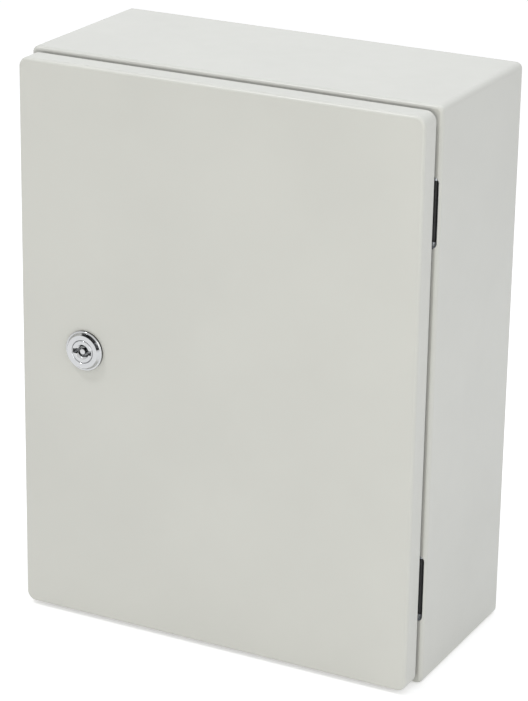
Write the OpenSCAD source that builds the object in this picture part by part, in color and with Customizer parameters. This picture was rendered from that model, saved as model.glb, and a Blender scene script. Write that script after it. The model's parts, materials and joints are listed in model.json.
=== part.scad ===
// Wall-mounting steel enclosure: a folded sheet body with a sealed, hinged door,
// two concealed hinges, a quarter-turn lock, a mounting plate and a gland plate.
// +Z is up, the wall plane is Y = 0 and the door faces -Y.
// The origin is the centre of the four wall-fixing holes.

/* [Body] */
// Outside width of the body
body_w = 300; // [260:1:500]
// Outside height of the body
body_h = 400; // [340:1:700]
// Depth from the wall to the front face of the rim
body_d = 129; // [120:1:260]
// Sheet thickness of the body and the door
sheet = 1.2; // [1:0.1:1.5]
// Outside radius of the front and back folds of the body
body_fold_r = 3; // [2.5:0.1:3.5]
// Outside radius of the four long corners of the body
body_corner_r = 4.5; // [4:0.5:8]
// Width of the rain gutter, from the side wall to the sealing lip
gutter_w = 20; // [19.5:0.5:26]
// Height of the sealing lip in front of the rim
lip_h = 14; // [10:0.5:15]

/* [Wall fixing] */
// Distance from a side of the body to the nearer column of wall holes
wall_hole_inset_x = 25; // [18:1:40]
// Distance from the top or bottom of the body to the nearer row of wall holes
wall_hole_inset_z = 25; // [18:1:40]
// Diameter of a wall hole
wall_hole_d = 8.5; // [6:0.5:11]

/* [Door] */
// How far the door stays inside the outline of the body on each side
door_inset = 2.5; // [2:0.1:3.5]
// Gap between the rim of the body and the back edge of the door
door_gap = 5; // [3:0.1:6]
// Depth of the folded door pan
door_d = 16; // [14.5:0.5:20]
// Outside radius of the folds along the front of the door
door_fold_r = 2.5; // [2:0.1:3]
// Radius of the four corners of the door
door_corner_r = 7; // [4:0.5:12]
// Width of the foamed gasket bead
gasket_w = 12; // [8:0.5:13]

/* [Hinges] */
// Distance from the top or bottom of the body to the middle of each hinge
hinge_inset_z = 70; // [60:1:110]
// Height of the slot in the rim at each hinge
slot_h = 47.5; // [44:0.5:55]
// Corner radius of the hinge slot
slot_corner_r = 4; // [2:0.5:5]
// Depth of the hinge axis behind the front face of the rim
pivot_depth = 6.7; // [6.5:0.1:7.5]
// Diameter of the hinge pin
hinge_pin_d = 4; // [3:0.1:4.2]
// Thickness of the hinge arm
arm_t = 1.5; // [1.2:0.1:1.6]
// Height of the hinge arm
arm_h = 40; // [32:0.5:40.5]
// Height of the screw ears at both ends of a hinge housing
ear_h = 11; // [10:0.5:14]
// Thread diameter of the screws and studs that hold the hinges
hinge_thread_d = 4; // [3:1:4]
// Distance between the two studs of a hinge arm
arm_stud_pitch = 24; // [18:1:26]

/* [Lock] */
// Distance from the free edge of the door to the lock axis
lock_inset = 50; // [46:1:60]
// Diameter of the lock head
lock_head_d = 28; // [27:0.5:32]
// Height of the lock head in front of the door
lock_head_h = 4.2; // [3.5:0.1:5]
// Thread diameter of the lock barrel
barrel_d = 22; // [21:0.5:23]
// Diameter of the turning insert
insert_d = 15.8; // [14.6:0.2:16.4]
// Diameter of the key recess
key_recess_d = 8; // [7:0.5:9]
// Diameter of the key pin
key_pin_d = 4; // [3:0.1:4.5]
// Height of the wing slots for the double-bit key
wing_slot_h = 3.2; // [2.5:0.1:4]
// Depth of the key recess
key_recess_depth = 9; // [6:0.5:11]
// Turn of the lock from open to locked, in degrees
lock_turn = 90; // [80:1:100]
// Reach of the cam from the lock axis
cam_reach = 42; // [40:1:44]
// Width of the cam
cam_w = 14; // [12:0.5:18]
// Thickness of the cam
cam_t = 3; // [2:0.5:4]

/* [Mounting plate] */
// Distance from the side of the body to the edge of the mounting plate
plate_margin_x = 25; // [24:1:50]
// Distance from the top or bottom of the body to the edge of the mounting plate
plate_margin_z = 25; // [24:1:50]
// Thickness of the mounting plate
plate_t = 2; // [1.5:0.5:3]
// Leg of the clipped corners of the mounting plate
plate_clip = 30; // [28:1:40]
// Distance from the side of the body to the plate studs
plate_stud_inset_x = 50; // [48:1:75]
// Distance from the top or bottom of the body to the plate studs
plate_stud_inset_z = 50; // [48:1:80]
// Thread diameter of the plate studs
plate_stud_d = 8; // [6:1:10]
// Space between the back panel and the mounting plate
plate_standoff = 12; // [8:1:25]

/* [Gland plate] */
// Width of the cable opening in the bottom
gland_open_w = 180; // [100:5:180]
// Depth of the cable opening in the bottom
gland_open_d = 66; // [40:1:66]
// Overlap of the gland plate past the opening on each side
gland_overlap = 16; // [15:0.5:17]
// Thickness of the gland plate
gland_plate_t = 2; // [1.5:0.5:3]
// Thickness of the gland gasket
gland_gasket_t = 3; // [2:0.5:4]
// Thread diameter of the gland studs
gland_stud_d = 5; // [4:1:6]

/* [Earthing] */
// Thread diameter of the earthing studs
earth_stud_d = 6; // [5:1:8]
// Height of both earthing studs above the bottom of the body
earth_rise = 50; // [46:1:80]
// Distance of the body earthing stud behind the rim
earth_depth = 40; // [25:1:60]
// Distance of the door earthing stud from the hinged edge of the door
earth_inset = 45; // [42:1:80]

/* [Hidden] */
$fn = 48;
paint = [0.85, 0.86, 0.83];
zinc = [0.72, 0.74, 0.77];
steel = [0.62, 0.63, 0.65];
chrome = [0.86, 0.87, 0.89];
foam = [0.22, 0.22, 0.23];

thread_play = 0.05;   // between a thread and its nut, sleeve or hole
hinge_play = 0.3;     // between the hinge eye and its housing
turn_play = 0.06;     // between the lock insert and the barrel
cam_gap = 0.4;        // between the cam and the back of the rim
swing_gap = 0.5;      // between the hinge arm and the fold of the body
stud_foot_t = 0.6;    // height of the foot of a weld stud
cut = 1;              // how far a cutting tool runs past the face it cuts

rim_y = -body_d;                        // front face of the rim
rim_back_y = rim_y + sheet;             // back face of the rim
lip_tip_y = rim_y - lip_h;
door_back_y = rim_y - door_gap;
door_front_y = door_back_y - door_d;
skin_back_y = door_front_y + sheet;     // inner face of the door skin
door_w = body_w - 2 * door_inset;
door_h = body_h - 2 * door_inset;
lip_w = body_w - 2 * gutter_w;          // outside of the sealing lip
lip_height = body_h - 2 * gutter_w;
lip_fold_r = 1;                         // gutter side of the fold at the foot of the lip
lip_corner_r = 4;
fold_tail = 0.5;                        // how far a fold runs on into the flat sheet beside it
wall_hole_x = body_w / 2 - wall_hole_inset_x;
wall_hole_z = body_h / 2 - wall_hole_inset_z;

// Gasket: a bead on the door skin, centred on the sealing lip
gasket_t = skin_back_y < lip_tip_y ? lip_tip_y - skin_back_y : 0;
gasket_round_r = min(1.5, gasket_t / 3);
gasket_corner_r = gasket_w + 2;         // outer corners of the bead

// Hinge: its section is measured from the pin axis, +X outward and +Y to the wall
hinge_z = body_h / 2 - hinge_inset_z;
housing_wall = 1.15;
housing_back_t = 1.8;
eye_bore_r = hinge_pin_d / 2 + thread_play;
eye_r = eye_bore_r + arm_t;
eye_mean_r = eye_bore_r + arm_t / 2;
housing_out_x = body_w / 2 - sheet - 0.1;
pivot_x = housing_out_x - housing_wall - hinge_play - eye_r;
pivot_y = rim_y + pivot_depth;
fold_x = body_w / 2 - body_fold_r;      // centre of the outer fold of the rim
fold_y = rim_y + body_fold_r;
fold_reach = norm([fold_x - pivot_x, fold_y - pivot_y]) + body_fold_r;
arm_bend_r = 1.5 + arm_t / 2;           // centre line of the bends in the arm
arm_bar_x = -(fold_reach + swing_gap + arm_t / 2);
arm_cross_y = door_back_y - pivot_y - 3;
arm_foot_x = door_w / 2 - sheet - arm_t / 2 - pivot_x;
arm_foot_end_y = door_front_y + door_fold_r + 0.2 - pivot_y;
pocket_in_x = pivot_x + arm_bar_x - arm_t / 2 - 0.6;
pocket_out_x = pivot_x + eye_r + hinge_play;
pocket_back_y = pivot_y + eye_r + 0.6;
housing_in_x = pocket_in_x - housing_back_t;
housing_back_y = pocket_back_y + housing_back_t;
housing_h = slot_h + 2 * ear_h;
slot_out_x = body_w / 2 - sheet - 0.3;
housing_screw_x = (housing_in_x + pivot_x) / 2;
housing_screw_z = (slot_h + ear_h) / 2;
housing_screw_len = 8;
arm_nut_h = 3.2;
arm_nut_af = 1.75 * hinge_thread_d;
arm_stud_y = pivot_y + arm_foot_end_y + arm_nut_af / 2 + 0.2;
arm_stud_len = arm_t + arm_nut_h + 2;

// Lock: heights are measured from the front of the door, + to the front
lock_x = -door_w / 2 + lock_inset;
cam_z = -(door_gap + door_d + sheet + cam_gap);   // front face of the cam
barrel_z = cam_z + 0.6;                           // back end of the barrel
shoulder_z = barrel_z + 7;                        // seat of the insert in the barrel
neck_d = 10;                                      // back part of the insert
lug_h = 2.3;
lug_angle = 30;
barrel_flat = 1;                                  // how deep each flat is cut into the barrel
lock_washer_t = 1;
lock_nut_t = 5;
lock_nut_af = barrel_d + 5;
lock_gasket_t = 1;
lock_gasket_d = lock_head_d - 2;
cam_square = 7;
cam_washer_t = 1.2;
cam_screw_d = 5;
cam_screw_len = 9;
oring_r = 0.58;
oring_z = (shoulder_z - (key_recess_depth - lock_head_h)) / 2;

// Mounting plate
plate_w = body_w - 2 * plate_margin_x;
plate_h = body_h - 2 * plate_margin_z;
plate_stud_x = body_w / 2 - plate_stud_inset_x;
plate_stud_z = body_h / 2 - plate_stud_inset_z;
plate_back_y = -sheet - plate_standoff;
plate_front_y = plate_back_y - plate_t;
washer_t = 1.6;
plate_nut_h = 0.8 * plate_stud_d;

// Gland plate, on the inner face of the bottom
floor_z = -body_h / 2 + sheet;
gland_y = rim_back_y / 2;
gland_stud_x = (gland_open_w + gland_overlap) / 2;
gland_stud_y = (gland_open_d + gland_overlap) / 2;
gland_top_z = floor_z + gland_gasket_t + gland_plate_t;
gland_open_r = 4;                       // corners of the cable opening
gland_nut_h = 0.8 * gland_stud_d;
gland_washer_t = 1;

// Earthing studs
earth_washer_t = 1.2;
earth_z = -body_h / 2 + earth_rise;
earth_nut_h = 0.8 * earth_stud_d;
earth_stud_len = 3 * earth_washer_t + 2 * earth_nut_h;

// Extrudes a shape drawn in X and Z from the plane Y = back towards the front
module forward(back, depth)
    translate([0, back, 0]) rotate([90, 0, 0]) linear_extrude(depth) children();

module rounded_rect(w, h, r) {
    square([w, h - 2 * r], center = true);
    square([w - 2 * r, h], center = true);
    for (x = [-1, 1], y = [-1, 1])
        translate([x * (w / 2 - r), y * (h / 2 - r)]) circle(r);
}

// Sweeps a profile round a rectangle with corners of radius r; the profile's X axis
// points outward from the centres of the corners
module swept_frame(w, h, r) {
    for (i = [0:3]) {
        side = i % 2 == 0 ? [w, h] : [h, w];
        rotate(90 * i) translate([side[0] / 2 - r, side[1] / 2 - r, 0]) {
            rotate([90, 0, 0]) linear_extrude(side[1] - 2 * r) children();
            rotate_extrude(angle = 90) children();
        }
    }
}

// One quarter of a ring, from angle 0 to 90
module quarter_ring(outer_r, inner_r)
    intersection() {
        difference() {
            circle(outer_r);
            circle(inner_r);
        }
        square(outer_r);
    }

// Section of a folded wall: straight up to the fold, then turned inward
module folded_wall(corner_r, fold_r, height) {
    translate([corner_r - sheet, 0]) square([sheet, height - fold_r]);
    translate([corner_r - fold_r, height - fold_r]) quarter_ring(fold_r, fold_r - sheet);
    translate([corner_r - fold_r - fold_tail, height - sheet]) square([2 * fold_tail, sheet]);
}

// Section of a body wall: a fold at the back panel, the wall and a fold at the rim
module body_wall_section() {
    translate([0, body_fold_r])
        folded_wall(body_corner_r, body_fold_r, body_d - body_fold_r);
    translate([body_corner_r - body_fold_r, body_fold_r])
        rotate(-90) quarter_ring(body_fold_r, body_fold_r - sheet);
    translate([body_corner_r - body_fold_r - fold_tail, 0]) square([2 * fold_tail, sheet]);
}

// Section of the sealing lip with the fold that joins it to the rim
module lip_section() {
    translate([lip_corner_r - sheet, sheet + lip_fold_r]) square([sheet, lip_h - lip_fold_r]);
    translate([lip_corner_r + lip_fold_r, sheet + lip_fold_r])
        rotate(180) quarter_ring(sheet + lip_fold_r, lip_fold_r);
    translate([lip_corner_r + lip_fold_r - fold_tail, 0]) square([2 * fold_tail, sheet]);
}

module at_hinges()
    for (z = [-hinge_z, hinge_z]) translate([0, 0, z]) children();

// Places something at each corner of a rectangle in X and Z
module at_corners(x, z)
    for (sx = [-1, 1], sz = [-1, 1]) translate([sx * x, 0, sz * z]) children();

// Six places round the cable opening
module at_gland_studs()
    for (x = [-gland_stud_x, 0, gland_stud_x], y = [-gland_stud_y, gland_stud_y])
        translate([x, gland_y + y, floor_z]) children();

module hex_nut(af, height, bore_d)
    linear_extrude(height) difference() {
        circle(d = af / cos(30), $fn = 6);
        circle(d = bore_d + 2 * thread_play);
    }

module washer(outer_d, bore_d, thickness)
    linear_extrude(thickness) difference() {
        circle(d = outer_d);
        circle(d = bore_d + 2 * thread_play);
    }

// Weld stud: a thin foot and a plain shank, standing on z = 0
module weld_stud(d, length) {
    cylinder(d = d + 1.5, h = stud_foot_t);
    cylinder(d = d, h = length);
}

module hinge_slot()
    forward(pocket_back_y, body_d + pocket_back_y + cut)
        translate([(pocket_in_x + slot_out_x) / 2, 0])
            rounded_rect(slot_out_x - pocket_in_x, slot_h, slot_corner_r);

module body_shell() color(paint) difference() {
    union() {
        rotate([90, 0, 0]) swept_frame(body_w, body_h, body_corner_r) body_wall_section();
        forward(0, sheet) rounded_rect(body_w - 2 * body_fold_r, body_h - 2 * body_fold_r,
                                       body_corner_r - body_fold_r);
        forward(rim_back_y, sheet) difference() {
            rounded_rect(body_w - 2 * body_fold_r, body_h - 2 * body_fold_r,
                         body_corner_r - body_fold_r);
            rounded_rect(lip_w + 2 * lip_fold_r, lip_height + 2 * lip_fold_r,
                         lip_corner_r + lip_fold_r);
        }
        translate([0, rim_back_y, 0]) rotate([90, 0, 0])
            swept_frame(lip_w, lip_height, lip_corner_r) lip_section();
    }
    at_corners(wall_hole_x, wall_hole_z)
        forward(cut, sheet + 2 * cut) circle(d = wall_hole_d);
    translate([0, gland_y, floor_z - sheet - cut])
        linear_extrude(sheet + 2 * cut) rounded_rect(gland_open_w, gland_open_d, gland_open_r);
    at_hinges() {
        hinge_slot();
        for (z = [-housing_screw_z, housing_screw_z]) translate([housing_screw_x, 0, z])
            forward(rim_back_y + cut, sheet + 2 * cut)
                circle(d = hinge_thread_d + 2 * thread_play);
    }
}

module plate_studs() color(steel)
    at_corners(plate_stud_x, plate_stud_z) translate([0, -sheet, 0]) rotate([90, 0, 0])
        weld_stud(plate_stud_d, plate_standoff + plate_t + washer_t + plate_nut_h + 2);

module plate_spacers() color("white")
    at_corners(plate_stud_x, plate_stud_z) translate([0, -sheet, 0]) rotate([90, 0, 0])
        difference() {
            washer(plate_stud_d + 8, plate_stud_d, plate_standoff);
            translate([0, 0, -cut]) cylinder(d = plate_stud_d + 2, h = cut + 1);
        }

module mounting_plate() color(zinc)
    forward(plate_back_y, plate_t) difference() {
        intersection() {
            square([plate_w, plate_h], center = true);
            clipped_rect(plate_w, plate_h, plate_clip);
        }
        for (x = [-1, 1], z = [-1, 1]) translate([x * plate_stud_x, z * plate_stud_z])
            circle(d = plate_stud_d + 1);
    }

// Rectangle with its four corners cut off at 45 degrees
module clipped_rect(w, h, leg)
    polygon([
        for (q = [[1, 1], [-1, 1], [-1, -1], [1, -1]])
            for (near_side = q[0] * q[1] > 0 ? [1, 0] : [0, 1])
                [q[0] * (w / 2 - (1 - near_side) * leg), q[1] * (h / 2 - near_side * leg)]
    ]);

module plate_washers() color(zinc)
    at_corners(plate_stud_x, plate_stud_z) translate([0, plate_front_y, 0])
        rotate([90, 0, 0]) washer(2 * plate_stud_d, plate_stud_d, washer_t);

module plate_nuts() color(zinc)
    at_corners(plate_stud_x, plate_stud_z) translate([0, plate_front_y - washer_t, 0])
        rotate([90, 0, 0]) hex_nut(1.625 * plate_stud_d, plate_nut_h, plate_stud_d);

module gland_studs() color(steel)
    at_gland_studs() weld_stud(gland_stud_d,
        gland_gasket_t + gland_plate_t + gland_washer_t + gland_nut_h + 2);

// Outline of the gland plate, with the holes for its studs
module gland_outline(hole_d) difference() {
    rounded_rect(gland_open_w + 2 * gland_overlap, gland_open_d + 2 * gland_overlap,
                 gland_open_r + 1);
    for (x = [-gland_stud_x, 0, gland_stud_x], y = [-gland_stud_y, gland_stud_y])
        translate([x, y]) circle(d = hole_d);
}

module gland_gasket() color(foam)
    translate([0, gland_y, floor_z]) linear_extrude(gland_gasket_t) difference() {
        gland_outline(gland_stud_d + 2);
        rounded_rect(gland_open_w, gland_open_d, gland_open_r);
    }

module gland_plate() color(paint)
    translate([0, gland_y, floor_z + gland_gasket_t]) linear_extrude(gland_plate_t)
        gland_outline(gland_stud_d + 0.5);

module gland_washers() color(zinc)
    at_gland_studs() translate([0, 0, gland_top_z - floor_z])
        washer(2 * gland_stud_d, gland_stud_d, gland_washer_t);

module gland_nuts() color(zinc)
    at_gland_studs() translate([0, 0, gland_top_z - floor_z + gland_washer_t])
        hex_nut(1.6 * gland_stud_d, gland_nut_h, gland_stud_d);

// The body's earthing stud stands on the inside of the hinged side wall
module at_earth_stud()
    translate([body_w / 2 - sheet, rim_y + earth_depth, earth_z])
        rotate([0, -90, 0]) children();

// The door's earthing stud stands on the inside of the door skin
module at_door_earth_stud()
    translate([door_w / 2 - earth_inset, skin_back_y, earth_z])
        rotate([-90, 0, 0]) children();

// A wide washer on the foot of the stud and a narrower one on it, both under the nut
module earth_washer_pair() {
    translate([0, 0, stud_foot_t])
        washer(2 * earth_stud_d + 2, earth_stud_d, earth_washer_t);
    translate([0, 0, stud_foot_t + earth_washer_t])
        washer(2 * earth_stud_d, earth_stud_d, earth_washer_t);
}

module earth_nut_on_stud()
    translate([0, 0, stud_foot_t + 2 * earth_washer_t])
        hex_nut(1.65 * earth_stud_d, earth_nut_h, earth_stud_d);

module earth_stud() color(steel) at_earth_stud() weld_stud(earth_stud_d, earth_stud_len);

module earth_washers() color(zinc) at_earth_stud() earth_washer_pair();

module earth_nut() color(zinc) at_earth_stud() earth_nut_on_stud();

module door_earth_stud() color(steel)
    at_door_earth_stud() weld_stud(earth_stud_d, earth_stud_len);

module door_earth_washers() color(zinc) at_door_earth_stud() earth_washer_pair();

module door_earth_nut() color(zinc) at_door_earth_stud() earth_nut_on_stud();

// Cast pocket behind a rim slot: it closes the slot to the inside and carries the pin
module hinge_housing() color(zinc) difference() {
    union() {
        difference() {
            translate([0, 0, -housing_h / 2]) linear_extrude(housing_h) polygon([
                [housing_in_x, rim_back_y],
                [housing_out_x - body_fold_r + sheet, rim_back_y],
                [housing_out_x, rim_back_y + body_fold_r - sheet],
                [housing_out_x, housing_back_y],
                [housing_in_x, housing_back_y]
            ]);
            forward(pocket_back_y, pocket_back_y - rim_back_y + cut)
                translate([(pocket_in_x + pocket_out_x) / 2, 0])
                    square([pocket_out_x - pocket_in_x, slot_h], center = true);
        }
        boss_h = (slot_h - arm_h) / 2 - hinge_play;
        for (s = [-1, 1]) translate([pivot_x, pivot_y, s * (slot_h - boss_h) / 2])
            cylinder(r = eye_r, h = boss_h, center = true);
    }
    translate([pivot_x, pivot_y, -housing_h / 2 - cut])
        cylinder(d = hinge_pin_d + 0.04, h = housing_h + 2 * cut);
    for (z = [-housing_screw_z, housing_screw_z]) translate([housing_screw_x, 0, z])
        forward(rim_back_y + housing_screw_len, housing_screw_len + cut)
            circle(d = hinge_thread_d + 2 * thread_play);
}

module hinge_housing_upper() translate([0, 0, hinge_z]) hinge_housing();

module hinge_housing_lower() translate([0, 0, -hinge_z]) hinge_housing();

module hinge_screws() color(zinc)
    at_hinges() for (z = [-housing_screw_z, housing_screw_z])
        translate([housing_screw_x, rim_y, z]) rotate([90, 0, 0]) difference() {
            union() {
                cylinder(d = 1.9 * hinge_thread_d, h = 0.4 * hinge_thread_d);
                translate([0, 0, 0.4 * hinge_thread_d])
                    cylinder(d1 = 1.9 * hinge_thread_d, d2 = 1.4 * hinge_thread_d, h = 0.8);
                translate([0, 0, -housing_screw_len])
                    cylinder(d = hinge_thread_d, h = housing_screw_len);
            }
            for (a = [0, 90]) rotate(a) translate([0, 0, 0.4 * hinge_thread_d])
                cube([1.1 * hinge_thread_d, 0.25 * hinge_thread_d, 2], center = true);
        }

// Plain pin with a chamfer at both ends
module hinge_pin() color(steel) {
    length = housing_h - 4;
    chamfer = 0.4;
    translate([pivot_x, pivot_y, -length / 2]) {
        cylinder(d1 = hinge_pin_d - 2 * chamfer, d2 = hinge_pin_d, h = chamfer);
        translate([0, 0, chamfer]) cylinder(d = hinge_pin_d, h = length - 2 * chamfer);
        translate([0, 0, length - chamfer])
            cylinder(d1 = hinge_pin_d, d2 = hinge_pin_d - 2 * chamfer, h = chamfer);
    }
}

module hinge_pin_upper() translate([0, 0, hinge_z]) hinge_pin();

module hinge_pin_lower() translate([0, 0, -hinge_z]) hinge_pin();

// A straight run of the arm's strip between two points on its centre line
module strip_run(a, b) {
    along = norm(b - a);
    translate(a) rotate(atan2(b[1] - a[1], b[0] - a[0]))
        translate([0, -arm_t / 2]) square([along, arm_t]);
}

module strip_bend(centre, turned)
    translate(centre) rotate(turned)
        quarter_ring(arm_bend_r + arm_t / 2, arm_bend_r - arm_t / 2);

// Section of the hinge arm: a rolled eye, a bar that passes through the rim slot, a step
// back to the edge of the door and a foot that lies on the folded edge
module arm_section() {
    r = arm_bend_r;
    bar = arm_bar_x;
    cross = arm_cross_y;
    foot = arm_foot_x;
    difference() {
        circle(eye_r);
        circle(eye_bore_r);
        polygon([[0, 0], [0, 2 * eye_r], [-2 * eye_r, 2 * eye_r], [-2 * eye_r, eye_r]]);
    }
    strip_run([0, eye_mean_r], [bar + r, eye_mean_r]);
    strip_bend([bar + r, eye_mean_r - r], 90);
    strip_run([bar, eye_mean_r - r], [bar, cross + r]);
    strip_bend([bar + r, cross + r], 180);
    strip_run([bar + r, cross], [foot - r, cross]);
    strip_bend([foot - r, cross - r], 0);
    strip_run([foot, cross - r], [foot, arm_foot_end_y]);
}

module at_arm_studs()
    for (z = [-1, 1]) translate([door_w / 2 - sheet, arm_stud_y, z * arm_stud_pitch / 2])
        rotate([0, -90, 0]) children();

module hinge_arm() color(steel) difference() {
    translate([pivot_x, pivot_y, -arm_h / 2]) linear_extrude(arm_h) arm_section();
    at_arm_studs() translate([0, 0, -cut])
        cylinder(d = hinge_thread_d + 2 * thread_play, h = arm_t + 2 * cut);
}

module hinge_arm_upper() translate([0, 0, hinge_z]) hinge_arm();

module hinge_arm_lower() translate([0, 0, -hinge_z]) hinge_arm();

module hinge_arm_studs() color(steel)
    at_hinges() at_arm_studs() cylinder(d = hinge_thread_d, h = arm_stud_len);

module hinge_arm_nuts() color(zinc)
    at_hinges() at_arm_studs() translate([0, 0, arm_t])
        hex_nut(arm_nut_af, arm_nut_h, hinge_thread_d);

module door() color(paint) difference() {
    union() {
        translate([0, door_back_y, 0]) rotate([90, 0, 0])
            swept_frame(door_w, door_h, door_corner_r)
                folded_wall(door_corner_r, door_fold_r, door_d);
        forward(skin_back_y, sheet) rounded_rect(door_w - 2 * door_fold_r,
            door_h - 2 * door_fold_r, door_corner_r - door_fold_r);
    }
    translate([lock_x, 0, 0]) forward(skin_back_y + cut, sheet + 2 * cut)
        barrel_outline(0.25);
}

module door_gasket() color(foam)
    translate([0, lip_tip_y, 0]) rotate([90, 0, 0]) {
        mid = sheet / 2;
        swept_frame(lip_w - 2 * mid + gasket_w, lip_height - 2 * mid + gasket_w,
                    gasket_corner_r)
            translate([gasket_corner_r - gasket_w, 0]) {
                translate([0, gasket_round_r]) square([gasket_w, gasket_t - gasket_round_r]);
                translate([gasket_round_r, 0]) square([gasket_w - 2 * gasket_round_r, gasket_t]);
                for (x = [gasket_round_r, gasket_w - gasket_round_r])
                    translate([x, gasket_round_r]) circle(gasket_round_r);
            }
    }

// Everything of the lock is drawn round its axis, with z = 0 on the front of the door
module at_lock() translate([lock_x, door_front_y, 0]) rotate([90, 0, 0]) children();

// The barrel's section: a circle with two flats, grown by play
module barrel_outline(play)
    intersection() {
        circle(d = barrel_d + 2 * play);
        square([barrel_d - 2 * barrel_flat + 2 * play, barrel_d + 2 * play], center = true);
    }

// A sector of a ring, for the stop that limits the turn of the lock
module sector(outer_r, inner_r, from, angle) {
    far = 3 * outer_r;
    intersection() {
        difference() {
            circle(outer_r);
            circle(inner_r);
        }
        polygon(concat([[0, 0]], [
            for (i = [0:3]) far * [cos(from + angle * i / 3), sin(from + angle * i / 3)]
        ]));
    }
}

module lock_housing() color(chrome) at_lock() difference() {
    head_r = lock_head_d / 2;
    edge_r = 1;
    shelf_r = head_r - 1.1;
    top_r = head_r - 2.5;
    union() {
        rotate_extrude() {
            polygon([
                [0, 0], [head_r, 0], [head_r, edge_r], [head_r - edge_r, 2 * edge_r],
                [shelf_r, 2 * edge_r], [top_r, lock_head_h], [0, lock_head_h]
            ]);
            translate([head_r - edge_r, edge_r]) circle(edge_r);
        }
        translate([0, 0, barrel_z]) linear_extrude(-barrel_z) barrel_outline(0);
    }
    translate([0, 0, -cut]) linear_extrude(lock_gasket_t + cut) difference() {
        circle(d = lock_gasket_d + 0.1);
        barrel_outline(0);
    }
    translate([0, 0, shoulder_z])
        cylinder(d = insert_d + 2 * turn_play, h = lock_head_h - shoulder_z + cut);
    translate([0, 0, barrel_z - cut])
        cylinder(d = neck_d + 2 * turn_play, h = shoulder_z - barrel_z + 2 * cut);
    translate([0, 0, shoulder_z - lug_h - 0.2]) linear_extrude(lug_h + 0.2 + cut)
        sector(insert_d / 2 + turn_play, neck_d / 2 - cut, -90 - lock_turn - lug_angle / 2 - 1,
               lock_turn + lug_angle + 2);
}

module lock_gasket() color(foam) at_lock() linear_extrude(lock_gasket_t) difference() {
    circle(d = lock_gasket_d);
    barrel_outline(0.1);
}

module lock_washer() color(steel) at_lock()
    translate([0, 0, -sheet - lock_washer_t]) linear_extrude(lock_washer_t) difference() {
        circle(d = barrel_d + 8);
        circle(d = barrel_d + 2 * thread_play);
        for (a = [0:22.5:359]) rotate(a) translate([barrel_d / 2 + 4, 0])
            square([3, 2.2], center = true);
    }

module lock_nut() color(zinc) at_lock()
    translate([0, 0, -sheet - lock_washer_t - lock_nut_t])
        hex_nut(lock_nut_af, lock_nut_t, barrel_d);

module lock_insert() color(chrome) at_lock() difference() {
    union() {
        translate([0, 0, shoulder_z]) cylinder(d = insert_d, h = lock_head_h - shoulder_z);
        translate([0, 0, cam_z]) cylinder(d = neck_d, h = shoulder_z - cam_z);
        translate([0, 0, cam_z - cam_t + 0.1]) linear_extrude(cam_t)
            square(cam_square, center = true);
        translate([0, 0, shoulder_z - lug_h]) linear_extrude(lug_h)
            sector(insert_d / 2, 0, -90 - lug_angle / 2, lug_angle);
    }
    translate([0, 0, lock_head_h - key_recess_depth]) difference() {
        linear_extrude(key_recess_depth + cut) {
            circle(d = key_recess_d);
            square([insert_d - 1.8, wing_slot_h], center = true);
        }
        cylinder(d = key_pin_d, h = key_recess_depth - 0.6);
    }
    translate([0, 0, oring_z]) rotate_extrude() translate([insert_d / 2 - 2 * oring_r, -oring_r])
        square([2 * oring_r + cut, 2 * oring_r]);
    translate([0, 0, cam_z - cam_t - cut]) cylinder(d = cam_screw_d, h = cam_screw_len + cut);
}

module lock_oring() color(foam) at_lock() translate([0, 0, oring_z])
    rotate_extrude() translate([insert_d / 2 - oring_r, 0]) circle(oring_r - 0.02);

module lock_cam() color(steel) at_lock()
    translate([0, 0, cam_z - cam_t]) linear_extrude(cam_t) difference() {
        union() {
            circle(d = cam_w + 4);
            translate([-cam_w / 2, -cam_reach + 3]) square([cam_w, cam_reach - 3]);
            translate([-cam_w / 2 + 3, -cam_reach]) square([cam_w - 6, 4]);
            for (x = [-1, 1]) translate([x * (cam_w / 2 - 3), -cam_reach + 3]) circle(3);
        }
        square(cam_square + 2 * thread_play, center = true);
    }

module cam_washer() color(zinc) at_lock() translate([0, 0, cam_z - cam_t - cam_washer_t])
    washer(3 * cam_screw_d, cam_screw_d, cam_washer_t);

module cam_screw() color(zinc) at_lock()
    translate([0, 0, cam_z - cam_t - cam_washer_t]) difference() {
        union() {
            translate([0, 0, -3]) cylinder(d = 1.7 * cam_screw_d, h = 3);
            cylinder(d = cam_screw_d - 2 * thread_play, h = cam_screw_len);
        }
        translate([0, 0, -3 - cut]) cylinder(d = 0.9 * cam_screw_d, h = 2 + cut, $fn = 6);
    }

body_shell();
plate_studs();
plate_spacers();
mounting_plate();
plate_washers();
plate_nuts();
gland_studs();
gland_gasket();
gland_plate();
gland_washers();
gland_nuts();
earth_stud();
earth_washers();
earth_nut();
hinge_housing_upper();
hinge_housing_lower();
hinge_screws();
hinge_pin_upper();
hinge_pin_lower();
door();
door_gasket();
hinge_arm_upper();
hinge_arm_lower();
hinge_arm_studs();
hinge_arm_nuts();
door_earth_stud();
door_earth_washers();
door_earth_nut();
lock_housing();
lock_gasket();
lock_washer();
lock_nut();
lock_insert();
lock_oring();
lock_cam();
cam_washer();
cam_screw();
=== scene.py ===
"""Looks of a wall-mounting steel enclosure: coated sheet, plated hardware, foam seals
and a chrome quarter-turn lock, added round the fixed CAD frame. Lengths are in metres."""

import json
import math

import bmesh
import bpy
import numpy as np
from bpy.props import FloatProperty, FloatVectorProperty, IntProperty, PointerProperty
from mathutils import Matrix, Vector


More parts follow.
